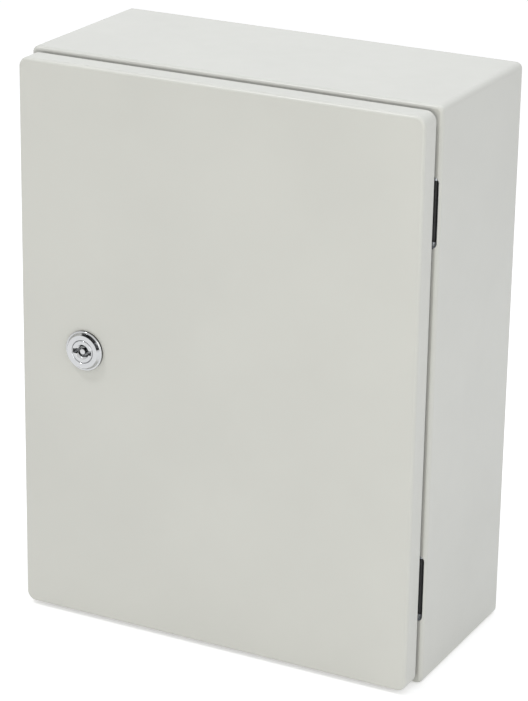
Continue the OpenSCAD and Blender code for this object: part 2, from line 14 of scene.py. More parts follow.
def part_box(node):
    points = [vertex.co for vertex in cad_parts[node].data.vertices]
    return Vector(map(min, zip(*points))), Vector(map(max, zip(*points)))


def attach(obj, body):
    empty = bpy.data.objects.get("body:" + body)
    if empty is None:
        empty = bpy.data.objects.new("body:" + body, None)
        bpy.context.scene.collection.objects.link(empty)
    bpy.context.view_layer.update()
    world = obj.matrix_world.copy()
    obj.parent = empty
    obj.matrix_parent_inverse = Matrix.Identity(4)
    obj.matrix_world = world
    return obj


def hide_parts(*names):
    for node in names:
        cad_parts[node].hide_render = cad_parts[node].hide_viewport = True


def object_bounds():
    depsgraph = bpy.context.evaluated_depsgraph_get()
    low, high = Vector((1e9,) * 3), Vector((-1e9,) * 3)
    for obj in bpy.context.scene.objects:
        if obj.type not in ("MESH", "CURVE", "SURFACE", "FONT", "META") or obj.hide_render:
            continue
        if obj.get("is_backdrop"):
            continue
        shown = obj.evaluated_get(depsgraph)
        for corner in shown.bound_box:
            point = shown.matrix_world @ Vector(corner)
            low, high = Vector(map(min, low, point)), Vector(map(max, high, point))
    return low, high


bl_info = {
    "name": "Steel wall enclosure",
    "version": (1, 0, 0),
    "blender": (4, 5, 0),
    "location": "3D View > Sidebar > Enclosure",
    "description": "Finishes and fine parts of a folded steel wall enclosure",
    "category": "Object",
}

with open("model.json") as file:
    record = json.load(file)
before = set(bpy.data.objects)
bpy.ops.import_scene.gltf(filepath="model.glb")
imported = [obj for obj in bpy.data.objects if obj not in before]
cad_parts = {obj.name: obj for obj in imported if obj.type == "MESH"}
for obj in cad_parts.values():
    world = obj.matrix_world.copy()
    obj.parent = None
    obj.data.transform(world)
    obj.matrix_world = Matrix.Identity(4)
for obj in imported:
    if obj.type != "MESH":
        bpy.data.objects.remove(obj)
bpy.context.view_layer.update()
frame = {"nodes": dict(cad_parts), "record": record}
NODES = frame["nodes"]
MM = 0.001

# Metric threads: radius and pitch.
M4 = (2 * MM, 0.7 * MM)
M5 = (2.5 * MM, 0.8 * MM)
M6 = (3 * MM, 1 * MM)
M8 = (4 * MM, 1.25 * MM)
LOCK_THREAD = (11 * MM, 1.5 * MM)

PLAY = 0.05 * MM          # room between a thread and a nut or washer round it
FLASH = 0.75 * MM         # how far the foot of a weld stud stands out round its thread
THREAD_START = 1.2 * MM   # height of the thread's first turn above the panel
RUN_OUT = 0.8             # share of the last turn over which a thread runs out
ROWS_PER_TURN = 10        # rows of the mesh in one pitch of a thread
TINY = 1e-6               # keeps a division by a sine or cosine away from zero

HEAD_LIFT = 1.12 * MM     # underside of the lock's head above the door: its gasket
BORE = 7.96 * MM          # radius of the seat in the lock's barrel
INSERT = 7.9 * MM         # radius of the insert that turns in it
INSERT_STOP = 7 * MM      # inner end of that seat, from the end of the barrel


# ---------------------------------------------------------------- sizes and colours

class SheetSettings(bpy.types.PropertyGroup):
    """Powder coat of the body, the door and the gland plate."""
    colour: FloatVectorProperty(
        name="Coat colour", description="Linear colour of the powder coat",
        subtype="COLOR", size=3, min=0, max=1, default=(0.640, 0.638, 0.598))
    gloss: FloatProperty(
        name="Roughness", description="Roughness of the powder coat",
        min=0, max=1, default=0.33)
    peel: FloatProperty(
        name="Texture size", description="Width of one wave of the coat's fine texture",
        unit="LENGTH", min=0.0002, default=0.0016)
    peel_height: FloatProperty(
        name="Texture height", description="Height of the coat's fine texture",
        unit="LENGTH", min=0, default=0.000012)


class HardwareSettings(bpy.types.PropertyGroup):
    """Threads, nuts and washers."""
    thread_share: FloatProperty(
        name="Thread depth", description="Depth of a thread as a share of its pitch",
        min=0.1, max=0.8, default=0.58)
    edge: FloatProperty(
        name="Edge radius", description="Rounding of turned and stamped edges",
        unit="LENGTH", min=0, default=0.00018)
    around: IntProperty(
        name="Steps round", description="Number of steps round a small part",
        min=24, max=192, default=72)


class SealSettings(bpy.types.PropertyGroup):
    """Foamed gasket of the door."""
    groove: FloatProperty(
        name="Lip mark", description="Depth of the mark that the sealing lip leaves",
        unit="LENGTH", min=0, default=0.0006)
    wander: FloatProperty(
        name="Unevenness", description="How much the poured bead varies in width",
        unit="LENGTH", min=0, default=0.00025)


class StudioSettings(bpy.types.PropertyGroup):
    """Camera and lamps."""
    eye: FloatVectorProperty(
        name="Camera place", description="Place of the camera",
        subtype="TRANSLATION", unit="LENGTH", size=3, default=(0.80560, -1.64072, 0.64876))
    lens: FloatProperty(
        name="Lens", description="Focal length of the camera in millimetres",
        unit="CAMERA", default=140.99)
    key_power: FloatProperty(
        name="Key lamp", description="Power of the compact lamp above the left",
        unit="POWER", min=0, default=19.0)
    front_power: FloatProperty(
        name="Front lamp", description="Power of the large warm lamp at the front",
        unit="POWER", min=0, default=6.4)
    top_power: FloatProperty(
        name="Top lamp", description="Power of the large cool lamp overhead",
        unit="POWER", min=0, default=11.8)
    side_power: FloatProperty(
        name="Side lamp", description="Power of the large cool lamp at the right",
        unit="POWER", min=0, default=5.0)
    fill: FloatProperty(
        name="Fill", description="Strength of the even light from all round",
        min=0, default=0.5)


GROUPS = {
    "enclosure_sheet": SheetSettings,
    "enclosure_hardware": HardwareSettings,
    "enclosure_seal": SealSettings,
    "enclosure_studio": StudioSettings,
}


# ---------------------------------------------------------------- meshes

def grid_faces(rows, columns, wrap_rows, wrap_columns):
    """Quads of a grid: corner indices of each cell, with the last row or column joined
    to the first one where it wraps."""
    r = np.arange(rows if wrap_rows else rows - 1)
    c = np.arange(columns if wrap_columns else columns - 1)
    r, c = np.meshgrid(r, c, indexing="ij")
    r2, c2 = (r + 1) % rows, (c + 1) % columns
    return np.stack([r * columns + c, r * columns + c2, r2 * columns + c2,
                     r2 * columns + c], axis=-1).reshape(-1, 4)


def surface(points, closed_profile=False):
    """A grid points[row, column, xyz] as (vertices, quads); columns run round the axis."""
    rows, columns = points.shape[:2]
    return points.reshape(-1, 3), grid_faces(rows, columns, closed_profile, True)


def turned(rows, angles):
    """A section carried round the Z axis: each row is (radius, height), where either may
    be an array over the angles. Gives points[row, angle, xyz] = (r cos a, r sin a, h)."""
    radius = np.stack([np.broadcast_to(r, angles.shape) for r, _ in rows])
    height = np.stack([np.broadcast_to(h, angles.shape) for _, h in rows])
    return np.stack([radius * np.cos(angles), radius * np.sin(angles), height], axis=-1)


def steps(count, corners=()):
    """Angles once round: even steps, with the angles of any corners added."""
    even = np.linspace(0, 2 * np.pi, count, endpoint=False)
    extra = np.mod(np.asarray(corners, float), 2 * np.pi)
    return np.unique(np.round(np.concatenate([even, extra]), 6))


def repeat(shape, places):
    """The same shape at several places: every vertex times each 4x4 matrix."""
    vertices, quads = shape
    flat = np.c_[vertices, np.ones(len(vertices))]
    stacked = np.concatenate([(flat @ np.array(m).T)[:, :3] for m in places])
    faces = np.concatenate([quads + i * len(vertices) for i in range(len(places))])
    return stacked, faces


def join(*shapes):
    """Several shapes as one list of vertices and quads."""
    offsets = np.cumsum([0] + [len(v) for v, _ in shapes[:-1]])
    return (np.concatenate([v for v, _ in shapes]),
            np.concatenate([q + o for (_, q), o in zip(shapes, offsets)]))


def piece(node, look, shape, body, slot, sharp=30):
    """Makes the mesh object that stands for a node, closes its poles and seams, turns
    its faces outward, and tells the frame which body it rides on."""
    vertices, quads = shape
    name = node + "_" + look
    mesh = bpy.data.meshes.new(name)
    mesh.vertices.add(len(vertices))
    mesh.vertices.foreach_set("co", vertices.astype(np.float32).ravel())
    mesh.loops.add(quads.size)
    mesh.loops.foreach_set("vertex_index", quads.astype(np.int32).ravel())
    mesh.polygons.add(len(quads))
    mesh.polygons.foreach_set("loop_start", np.arange(0, quads.size, 4, dtype=np.int32))
    mesh.update(calc_edges=True)
    work = bmesh.new()
    work.from_mesh(mesh)
    bmesh.ops.remove_doubles(work, verts=work.verts, dist=2e-7)
    bmesh.ops.dissolve_degenerate(work, edges=work.edges, dist=1e-8)
    bmesh.ops.recalc_face_normals(work, faces=work.faces)
    work.to_mesh(mesh)
    work.free()
    mesh.validate()
    mesh.polygons.foreach_set("use_smooth", np.ones(len(mesh.polygons), bool))
    mesh.set_sharp_from_angle(angle=math.radians(sharp))
    mesh.materials.append(bpy.data.materials[slot])
    obj = bpy.data.objects.new(name, mesh)
    bpy.context.scene.collection.objects.link(obj)
    even = obj.modifiers.new("even_normals", "WEIGHTED_NORMAL")
    even.keep_sharp = True
    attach(obj, body)
    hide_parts(node)


def facing(origin, direction, turn=0.0):
    """Matrix that puts a part drawn along +Z at origin, pointing along direction."""
    aim = Vector(direction).to_track_quat("Z", "Y").to_matrix().to_4x4()
    return Matrix.Translation(Vector(origin)) @ aim @ Matrix.Rotation(turn, 4, "Z")


def levels(node, height):
    """Lowest and highest corner of a node's box, by a function that gives a point's
    height above the panel."""
    return sorted(height(corner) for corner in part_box(node))


# ---------------------------------------------------------------- sections

def hexagon(across, angles):
    """Radius of a hexagon at each angle: half the width over flats divided by the cosine
    of the angle to the nearest flat."""
    to_flat = np.mod(angles, np.pi / 3) - np.pi / 6
    return across / 2 / np.cos(to_flat)


def hex_nut(across, height, bore, around):
    """Hexagon nut: the corners are cut back by a 30 degree cone at both ends, so each
    flat ends in a curve, and the bore has a chamfer."""
    angles = steps(around)
    corner = hexagon(across, angles)
    crown = across / 2 * 0.96
    drop = (corner - crown) * math.tan(math.radians(30))
    lead = 0.08 * bore
    rows = [(bore, lead), (bore + lead, 0), (crown, 0), (corner, drop),
            (corner, height - drop), (crown, height), (bore + lead, height),
            (bore, height - lead)]
    return surface(turned(rows, angles), True)


def washer(outer, bore, low, high, around, edge):
    """Flat ring whose four edges are cut back at 45 degrees."""
    rows = [(bore + edge, low), (outer - edge, low), (outer, low + edge),
            (outer, high - edge), (outer - edge, high), (bore + edge, high),
            (bore, high - edge), (bore, low + edge)]
    return surface(turned(rows, steps(around)), True)


def threaded(thread, start, end, around, share):
    """Part of a screw thread: the radius falls from crest to root and back once per
    pitch, and the crest climbs one pitch per turn. The thread runs out over the last
    turn, where the end is chamfered. Gives the angles and the rows for turned()."""
    radius, pitch = thread
    flat = 0.12
    angles = steps(around)
    heights = np.linspace(start, end, int((end - start) / pitch * ROWS_PER_TURN) + 2)
    phase = heights[:, None] / pitch - angles[None, :] / (2 * np.pi)
    ridge = np.abs(np.mod(phase, 1) - 0.5) * 2
    ridge = np.clip((ridge - flat) / (1 - 2 * flat), 0, 1)
    last = RUN_OUT * pitch
    chamfer = np.clip((heights - (end - last)) / last, 0, 1)[:, None]
    radii = radius - share * pitch * np.maximum(ridge, chamfer)
    return angles, list(zip(radii, heights))


def weld_stud(thread, length, start, around, share):
    """Threaded weld stud: a flat foot with a rounded flash ring, a plain neck and the
    thread, closed at both ends."""
    radius, pitch = thread
    angles, turns = threaded(thread, start, length, around, share)
    root = radius - share * pitch
    foot, tall, soft = radius + FLASH, 0.6 * MM, 0.2 * MM
    rows = [(0, 0), (foot, 0), (foot, tall / 2), (foot - soft, tall - soft / 4),
            (radius + soft / 2, tall), (radius, FLASH), (radius, start - soft)]
    rows += turns + [(0.6 * root, length), (0, length)]
    return surface(turned(rows, angles))


def cross_recess(angles, reach, width):
    """Outline of a cross recess: at each angle, the nearer of the arm's end and its side."""
    to_arm = np.abs(np.mod(angles + np.pi / 4, np.pi / 2) - np.pi / 4)
    side = width / 2 / np.maximum(np.sin(to_arm), TINY)
    return np.minimum(reach / np.cos(to_arm), side)


def rounded_outline(width, height, corner, step):
    """Outline of a rectangle with round corners, as points in order and the direction
    that faces out at each: four quarter circles joined by straight runs."""
    points, outward = [], []
    for quarter in range(4):
        sx, sy = [(1, 1), (-1, 1), (-1, -1), (1, -1)][quarter]
        centre = np.array([sx * (width / 2 - corner), sy * (height / 2 - corner)])
        turn = np.linspace(0, np.pi / 2, 13) + quarter * np.pi / 2
        arc = np.stack([np.cos(turn), np.sin(turn)], axis=-1)
        points.append(centre + corner * arc)
        outward.append(arc)
        run = (height if quarter % 2 else width) - 2 * corner
        count = max(int(run / step), 2)
        along = np.linspace(0, run, count, endpoint=False)[1:, None]
        heading = np.array([-np.sin(turn[-1]), np.cos(turn[-1])])
        points.append(points[-1][-1] + along * heading)
        outward.append(np.repeat(arc[-1:], len(along), axis=0))
    return np.concatenate(points), np.concatenate(outward)


# ---------------------------------------------------------------- finishes

class Finish:
    """One procedural material: a shader whose colour, roughness and relief are driven by
    textures on object coordinates."""

    def __init__(self, name, **sockets):
        self.material = bpy.data.materials.get(name) or bpy.data.materials.new(name)
        self.material.use_nodes = True
        self.tree = self.material.node_tree
        self.tree.nodes.clear()
        self.shader = self.add("ShaderNodeBsdfPrincipled", **sockets)
        out = self.add("ShaderNodeOutputMaterial")
        self.link(self.shader.outputs["BSDF"], out.inputs["Surface"])
        self.coords = self.add("ShaderNodeTexCoord").outputs["Object"]

    def add(self, kind, **sockets):
        """A node with some of its sockets set; a socket's spaces are underscores here."""
        node = self.tree.nodes.new(kind)
        for key, value in sockets.items():
            node.inputs[key.replace("_", " ")].default_value = value
        return node

    def link(self, a, b):
        self.tree.links.new(a, b)

    def noise(self, size, detail=2.0):
        """Noise whose waves are about size wide."""
        node = self.add("ShaderNodeTexNoise", Scale=1.0 / size, Detail=detail,
                        Roughness=0.5)
        self.link(self.coords, node.inputs["Vector"])
        return node.outputs["Fac"]

    def cells(self, size):
        """Random cells about size wide: the cells' colours and the distance inside each."""
        node = self.add("ShaderNodeTexVoronoi", Scale=1.0 / size)
        self.link(self.coords, node.inputs["Vector"])
        return node.outputs

    def spread(self, value, low, high, start=0.0, stop=1.0):
        """The value moved from the range start to stop into the range low to high."""
        node = self.add("ShaderNodeMapRange", From_Min=start, From_Max=stop, To_Min=low,
                        To_Max=high)
        self.link(value, node.inputs["Value"])
        return node.outputs["Result"]

    def tint(self, value, first, second):
        """Blends two colours by the value and gives the result to the base colour."""
        node = self.add("ShaderNodeMix")
        node.data_type = "RGBA"
        node.inputs[6].default_value = (*first, 1)
        node.inputs[7].default_value = (*second, 1)
        self.link(value, node.inputs[0])
        self.link(node.outputs[2], self.shader.inputs["Base Color"])

    def relief(self, value, height, under=None):
        """Bump of the given height; a second one rests on the first."""
        node = self.add("ShaderNodeBump", Strength=1.0, Distance=height)
        self.link(value, node.inputs["Height"])
        if under:
            self.link(under, node.inputs["Normal"])
        self.link(node.outputs["Normal"], self.shader.inputs["Normal"])
        return node.outputs["Normal"]

    def rough(self, value, low, high):
        """Roughness between low and high, over the middle range of the value."""
        self.link(self.spread(value, low, high, 0.3, 0.7), self.shader.inputs["Roughness"])


def shade(colour, factor):
    """The colour made lighter or darker by a factor, and no brighter than white."""
    return tuple(min(c * factor, 1.0) for c in colour)


def noisy_finish(name, colour, rough, relief, **sockets):
    """Finish with three noises of their own: colour is (wave size, detail, first colour,
    second colour), rough is (wave size, detail, lowest, highest), and relief is (wave
    size, detail, height)."""
    look = Finish(name, **sockets)
    size, detail, *colours = colour
    look.tint(look.noise(size, detail), *colours)
    size, detail, *limits = rough
    look.rough(look.noise(size, detail), *limits)
    size, detail, height = relief
    look.relief(look.noise(size, detail), height)


def coat_finish(sheet):
    """Powder coat: its shade drifts slowly, and a fine relief rests on a wider one."""
    coat = Finish("paint", Roughness=sheet.gloss, IOR=1.5)
    base = tuple(sheet.colour)
    coat.tint(coat.spread(coat.noise(0.09, 3.0), 0, 1, 0.35, 0.65),
              shade(base, 0.985), shade(base, 1.015))
    coat.rough(coat.noise(0.012, 3.0), sheet.gloss - 0.03, sheet.gloss + 0.03)
    first = coat.relief(coat.noise(sheet.peel, 1.0), sheet.peel_height)
    coat.relief(coat.noise(sheet.peel * 0.28, 1.0), sheet.peel_height * 0.25, first)


def galvanised_finish():
    """Hot-dipped zinc: flat flakes, each with a shade and a gloss of its own."""
    zinc = Finish("galvanised", Metallic=1.0, Roughness=0.4)
    flakes = zinc.cells(0.0075)
    zinc.tint(flakes["Color"], (0.54, 0.56, 0.58), (0.68, 0.70, 0.72))
    zinc.rough(flakes["Color"], 0.32, 0.42)
    zinc.relief(zinc.noise(0.0014, 3.0), 0.000006)


def foam_finish():
    """Black foam with open pores."""
    foam = Finish("foam", Roughness=0.95, IOR=1.4)
    pores = foam.cells(0.0009)
    foam.tint(foam.noise(0.004, 3.0), (0.030, 0.030, 0.032), (0.060, 0.060, 0.062))
    foam.relief(pores["Distance"], 0.00018)


def make_finishes(sheet):
    """All finishes of the enclosure, one for each material slot of the record."""
    coat_finish(sheet)
    galvanised_finish()
    noisy_finish("zinc_plated", (0.006, 2.0, (0.64, 0.66, 0.70), (0.76, 0.76, 0.74)),
                 (0.002, 3.0, 0.22, 0.36), (0.0006, 2.0, 0.000004),
                 Metallic=1.0, Roughness=0.28)
    noisy_finish("zinc_cast", (0.004, 3.0, (0.44, 0.47, 0.51), (0.60, 0.62, 0.65)),
                 (0.0025, 3.0, 0.34, 0.52), (0.0008, 3.0, 0.00003),
                 Metallic=1.0, Roughness=0.42)
    noisy_finish("plain_steel", (0.003, 3.0, (0.42, 0.42, 0.43), (0.58, 0.58, 0.58)),
                 (0.0015, 3.0, 0.26, 0.44), (0.0005, 2.0, 0.000005),
                 Metallic=1.0, Roughness=0.34)
    noisy_finish("chrome", (0.008, 2.0, (0.50, 0.51, 0.52), (0.56, 0.56, 0.565)),
                 (0.003, 4.0, 0.08, 0.16), (0.0012, 2.0, 0.0000015),
                 Metallic=1.0, Roughness=0.1)
    # Hinge arms: near-black, a colour that stands in for the shade inside the hinge slots
    # (painted shade).
    noisy_finish("black_steel", (0.004, 3.0, (0.020, 0.020, 0.022), (0.038, 0.038, 0.040)),
                 (0.002, 3.0, 0.32, 0.5), (0.0007, 2.0, 0.000006),
                 Roughness=0.4, IOR=1.5)
    foam_finish()
    noisy_finish("rubber", (0.003, 3.0, (0.012, 0.012, 0.012), (0.026, 0.026, 0.026)),
                 (0.001, 2.0, 0.5, 0.72), (0.0004, 2.0, 0.00001),
                 Roughness=0.6, IOR=1.5)
    noisy_finish("nylon", (0.005, 2.0, (0.74, 0.74, 0.70), (0.82, 0.82, 0.79)),
                 (0.0015, 2.0, 0.38, 0.52), (0.0007, 2.0, 0.000008),
                 Roughness=0.45, IOR=1.53, Subsurface_Weight=0.15)


# ---------------------------------------------------------------- fasteners

def studs(node, thread, start, height, places, body, around, share):
    """Weld studs, as tall as the box of their node."""
    shape = weld_stud(thread, levels(node, height)[1], start, around, share)
    piece(node, "threaded", repeat(shape, places), body, "plain_steel")


def nuts(node, thread, across, height, places, body, around, turn, step=0.0):
    """Hexagon nuts, each turned by one step more than the one before it."""
    seat, top = levels(node, height)
    shape = hex_nut(across, top - seat, thread[0] + PLAY, around)
    turned_places = [p @ Matrix.Translation((0, 0, seat)) @
                     Matrix.Rotation(turn + step * i, 4, "Z") for i, p in enumerate(places)]
    piece(node, "chamfered", repeat(shape, turned_places), body, "zinc_plated")


def washers(node, places, body, *rings):
    """Stamped washers: one ring, or several that lie on each other."""
    piece(node, "stamped", repeat(join(*rings), places), body, "zinc_plated")


# ---------------------------------------------------------------- operators

class PieceOperator:
    """What the operators of this add-on share."""
    bl_options = {"REGISTER", "UNDO"}


class ENCLOSURE_OT_finishes(PieceOperator, bpy.types.Operator):
    """Makes the finishes and gives each part of the frame the one of its slot"""
    bl_idname = "enclosure.finishes"
    bl_label = "Finishes"

    def execute(self, context):
        make_finishes(context.scene.enclosure_sheet)
        for row in frame["record"]["subparts"]:
            obj = NODES[row["node"]]
            obj.data.materials.clear()
            obj.data.materials.append(bpy.data.materials[row["material_slot"]])
        return {"FINISHED"}


class ENCLOSURE_OT_plate_hardware(PieceOperator, bpy.types.Operator):
    """Studs, washers and nuts that hold the mounting plate"""
    bl_idname = "enclosure.plate_hardware"
    bl_label = "Mounting plate hardware"

    def execute(self, context):
        size = context.scene.enclosure_hardware
        low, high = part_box("plate_studs")
        foot = M8[0] + FLASH
        places = [facing((x, high.y, z), (0, -1, 0)) for x in (low.x + foot, high.x - foot)
                  for z in (low.z + foot, high.z - foot)]

        def height(corner):
            return high.y - corner.y

        start = levels("mounting_plate", height)[0] - 1 * MM
        studs("plate_studs", M8, start, height, places, "enclosure", 48, size.thread_share)
        nuts("plate_nuts", M8, 13 * MM, height, places, "enclosure", size.around, 0.3, 0.7)
        base, seat = levels("plate_washers", height)[0], levels("plate_nuts", height)[0]
        washers("plate_washers", places, "enclosure",
                washer(8 * MM, M8[0] + PLAY, base, seat, size.around, size.edge))
        return {"FINISHED"}


class ENCLOSURE_OT_gland_hardware(PieceOperator, bpy.types.Operator):
    """Studs, washers, nuts and foam gasket of the gland plate"""
    bl_idname = "enclosure.gland_hardware"
    bl_label = "Gland plate hardware"

    def execute(self, context):
        size = context.scene.enclosure_hardware
        low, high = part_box("gland_studs")
        foot = M5[0] + FLASH
        around = 48
        places = [facing((x, y, low.z), (0, 0, 1))
                  for x in (low.x + foot, (low.x + high.x) / 2, high.x - foot)
                  for y in (low.y + foot, high.y - foot)]

        def height(corner):
            return corner.z - low.z

        studs("gland_studs", M5, THREAD_START, height, places, "enclosure", 36,
              size.thread_share)
        nuts("gland_nuts", M5, 8 * MM, height, places, "enclosure", around, 0.2, 0.9)
        base, seat = levels("gland_washers", height)[0], levels("gland_nuts", height)[0]
        washers("gland_washers", places, "enclosure",
                washer(5 * MM, M5[0] + PLAY, base, seat, around, size.edge))
        self.gasket()
        return {"FINISHED"}

    def gasket(self):
        """Flat foam frame: its outer and inner edges bulge between the plate and the
        floor. Each point lies between an outer and an inner rounded rectangle."""
        low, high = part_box("gland_gasket")
        middle = (low + high) / 2
        inset, band, run = 0.6 * MM, 16 * MM, 6 * MM
        outer, _ = rounded_outline(high.x - low.x - inset, high.y - low.y - inset,
                                   5 * MM, run)
        inner, _ = rounded_outline(high.x - low.x - 2 * band, high.y - low.y - 2 * band,
                                   4 * MM, run)
        count = min(len(outer), len(inner))
        outer, inner = [o[np.linspace(0, len(o) - 1, count).astype(int)]
                        for o in (outer, inner)]
        across = np.array([0.03, 0.0, -0.015, 0.0, 0.03, 0.97, 1.0, 1.015, 1.0, 0.97])
        rise = np.array([0.0, 0.12, 0.5, 0.88, 1.0, 1.0, 0.88, 0.5, 0.12, 0.0])
        flat = outer[None] * (1 - across[:, None, None]) + inner[None] * across[:, None, None]
        z = low.z + rise[:, None] * (high.z - low.z) + 0 * flat[..., 0]
        points = np.stack([flat[..., 0] + middle.x, flat[..., 1] + middle.y, z], axis=-1)
        piece("gland_gasket", "foam", surface(points, True), "enclosure", "foam", 50)


class ENCLOSURE_OT_earthing(PieceOperator, bpy.types.Operator):
    """Earthing studs of the body and the door, with their washers and nuts"""
    bl_idname = "enclosure.earthing"
    bl_label = "Earthing studs"

    def execute(self, context):
        size = context.scene.enclosure_hardware
        low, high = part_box("earth_stud")
        wall = high.x
        origin = (wall, (low.y + high.y) / 2, (low.z + high.z) / 2)
        self.stud(size, "", "enclosure", facing(origin, (-1, 0, 0)), lambda v: wall - v.x)
        low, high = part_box("door_earth_stud")
        face = low.y
        origin = ((low.x + high.x) / 2, face, (low.z + high.z) / 2)
        self.stud(size, "door_", "door", facing(origin, (0, 1, 0)), lambda v: v.y - face)
        return {"FINISHED"}

    def stud(self, size, prefix, body, place, height):
        """One earthing point: a stud, a nut, and a wide washer under a narrower one."""
        studs(prefix + "earth_stud", M6, THREAD_START, height, [place], body, 40,
              size.thread_share)
        nuts(prefix + "earth_nut", M6, 9.9 * MM, height, [place], body, size.around, 0.4)
        first, last = levels(prefix + "earth_washers", height)
        middle = (first + last) / 2
        rings = [washer(outer, M6[0] + PLAY, base, top, size.around, size.edge)
                 for outer, base, top in ((7 * MM, first, middle), (6 * MM, middle, last))]
        washers(prefix + "earth_washers", [place], body, *rings)


class ENCLOSURE_OT_hinge_hardware(PieceOperator, bpy.types.Operator):
    """Screws of the hinge housings, and the studs and nuts of the hinge arms"""
    bl_idname = "enclosure.hinge_hardware"
    bl_label = "Hinge hardware"

    head = 3.8 * MM       # radius of a housing screw's head
    shank = 8 * MM        # length of its shank
    arm_pitch = 24 * MM   # distance between the two studs of one arm

    def execute(self, context):
        size = context.scene.enclosure_hardware
        self.housing_screws()
        self.arm_studs(size)
        return {"FINISHED"}

    def housing_screws(self):
        """Two screws for each housing, as far from its middle as the outermost one is."""
        low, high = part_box("hinge_screws")
        housings = [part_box("hinge_housing_" + s) for s in ("lower", "upper")]
        centres = [(a.z + b.z) / 2 for a, b in housings]
        reach = high.z - self.head - centres[1]
        places = [facing(((low.x + high.x) / 2, high.y - self.shank, c + s * reach),
                         (0, -1, 0), 0.4 + 1.1 * i + s)
                  for i, c in enumerate(centres) for s in (-1, 1)]
        shape = self.pan_screw(high.y - low.y - self.shank)
        piece("hinge_screws", "pan_head", repeat(shape, places), "enclosure", "zinc_plated")

    def arm_studs(self, size):
        """Two studs and nuts for each arm, from the door's folded edge."""
        low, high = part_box("hinge_arm_studs")
        radius = M4[0]
        first, last = low.z + radius, high.z - radius
        places = [facing((high.x, (low.y + high.y) / 2, z), (-1, 0, 0))
                  for z in (first, first + self.arm_pitch, last - self.arm_pitch, last)]
        end = high.x - low.x
        angles, turns = threaded(M4, THREAD_START, end, 36, size.thread_share)
        rows = [(0, 0), (radius, 0), (radius, 1 * MM)] + turns + [(0.8 * MM, end), (0, end)]
        piece("hinge_arm_studs", "threaded", repeat(surface(turned(rows, angles)), places),
              "door", "plain_steel")
        nuts("hinge_arm_nuts", M4, 7 * MM, lambda v: high.x - v.x, places, "door", 48,
             0.0, 0.5)

    def pan_screw(self, tall):
        """Pan head with a cross recess: the recess is a cross whose arms taper down to a
        point, the head is a flattened dome, and the shank runs back into the housing."""
        corner = 0.21
        angles = steps(72, [s * np.pi / 2 + o for s in range(4) for o in (-corner, corner)])
        cross = np.maximum(cross_recess(angles, 2.1 * MM, 0.9 * MM), 0.75 * MM)
        rows = [(0, tall - 1.75 * MM), (cross * 0.3, tall - 1.7 * MM),
                (cross * 0.75, tall - 0.5 * MM), (cross, tall - 0.12 * MM),
                (cross + 0.12 * MM, tall - 0.03 * MM)]
        crown, dome = 2.4 * MM, 1.5 * MM
        rows += [(crown + (self.head - crown) * math.sin(t * math.pi / 2),
                  tall - (1 - math.cos(t * math.pi / 2)) * dome)
                 for t in np.linspace(0.0, 1.0, 8)]
        rows += [(self.head, 0.15 * MM), (self.head - 0.15 * MM, 0), (2 * MM, 0),
                 (2 * MM, 0.4 * MM - self.shank), (1.6 * MM, -self.shank), (0, -self.shank)]
        return surface(turned(rows, angles))


class ENCLOSURE_OT_door_seal(PieceOperator, bpy.types.Operator):
    """Poured foam gasket on the inside of the door"""
    bl_idname = "enclosure.door_seal"
    bl_label = "Door seal"

    def execute(self, context):
        self.gasket(context.scene.enclosure_seal)
        return {"FINISHED"}

    def gasket(self, size):
        """A crowned section carried along a rounded rectangle. The crown has a shallow
        mark from the sealing lip, and the bead's width wanders a little with the distance
        along it, by a sum of slow sine waves; at the seam it is a little wider and taller."""
        low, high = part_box("door_gasket")
        width, tall = high.x - low.x, high.z - low.z
        bead = 12 * MM
        line, outward = rounded_outline(width - bead, tall - bead, 8 * MM, 4 * MM)
        step = np.linalg.norm(np.roll(line, -1, axis=0) - line, axis=1)
        along = np.concatenate([[0], np.cumsum(step)[:-1]])
        total = step.sum()
        turn = 2 * np.pi * along / total
        wander = size.wander * (np.sin(17 * turn) + 0.7 * np.sin(41 * turn + 1.3)
                                + 0.4 * np.sin(97 * turn + 0.5)) / 2.1
        seam = np.exp(-((along - 0.62 * total) / (9 * MM)) ** 2)
        across = np.linspace(-1, 1, 33)
        crown = (1 - np.abs(across) ** 3.2) ** 0.62
        mark = np.exp(-(across / 0.16) ** 4)
        depth = high.y - low.y
        lift = depth - 0.12 * MM - 0.1 * MM * (1 - seam[:, None])
        height = crown[None] * lift - size.groove * mark[None]
        reach = bead / 2 - size.wander - 0.05 * MM + wander + 0.15 * MM * seam
        reach = np.minimum(reach, bead / 2)
        offset = across[None] * reach[:, None]
        x = line[:, None, 0] + outward[:, None, 0] * offset
        z = line[:, None, 1] + outward[:, None, 1] * offset
        points = np.stack([x, low.y + height, z], axis=-1)
        points[:, 0, 1] = points[:, -1, 1] = low.y
        points = np.swapaxes(points, 0, 1)
        points = points + np.array([(low.x + high.x) / 2, 0, (low.z + high.z) / 2])
        piece("door_gasket", "foam", surface(points, True), "door", "foam", 60)


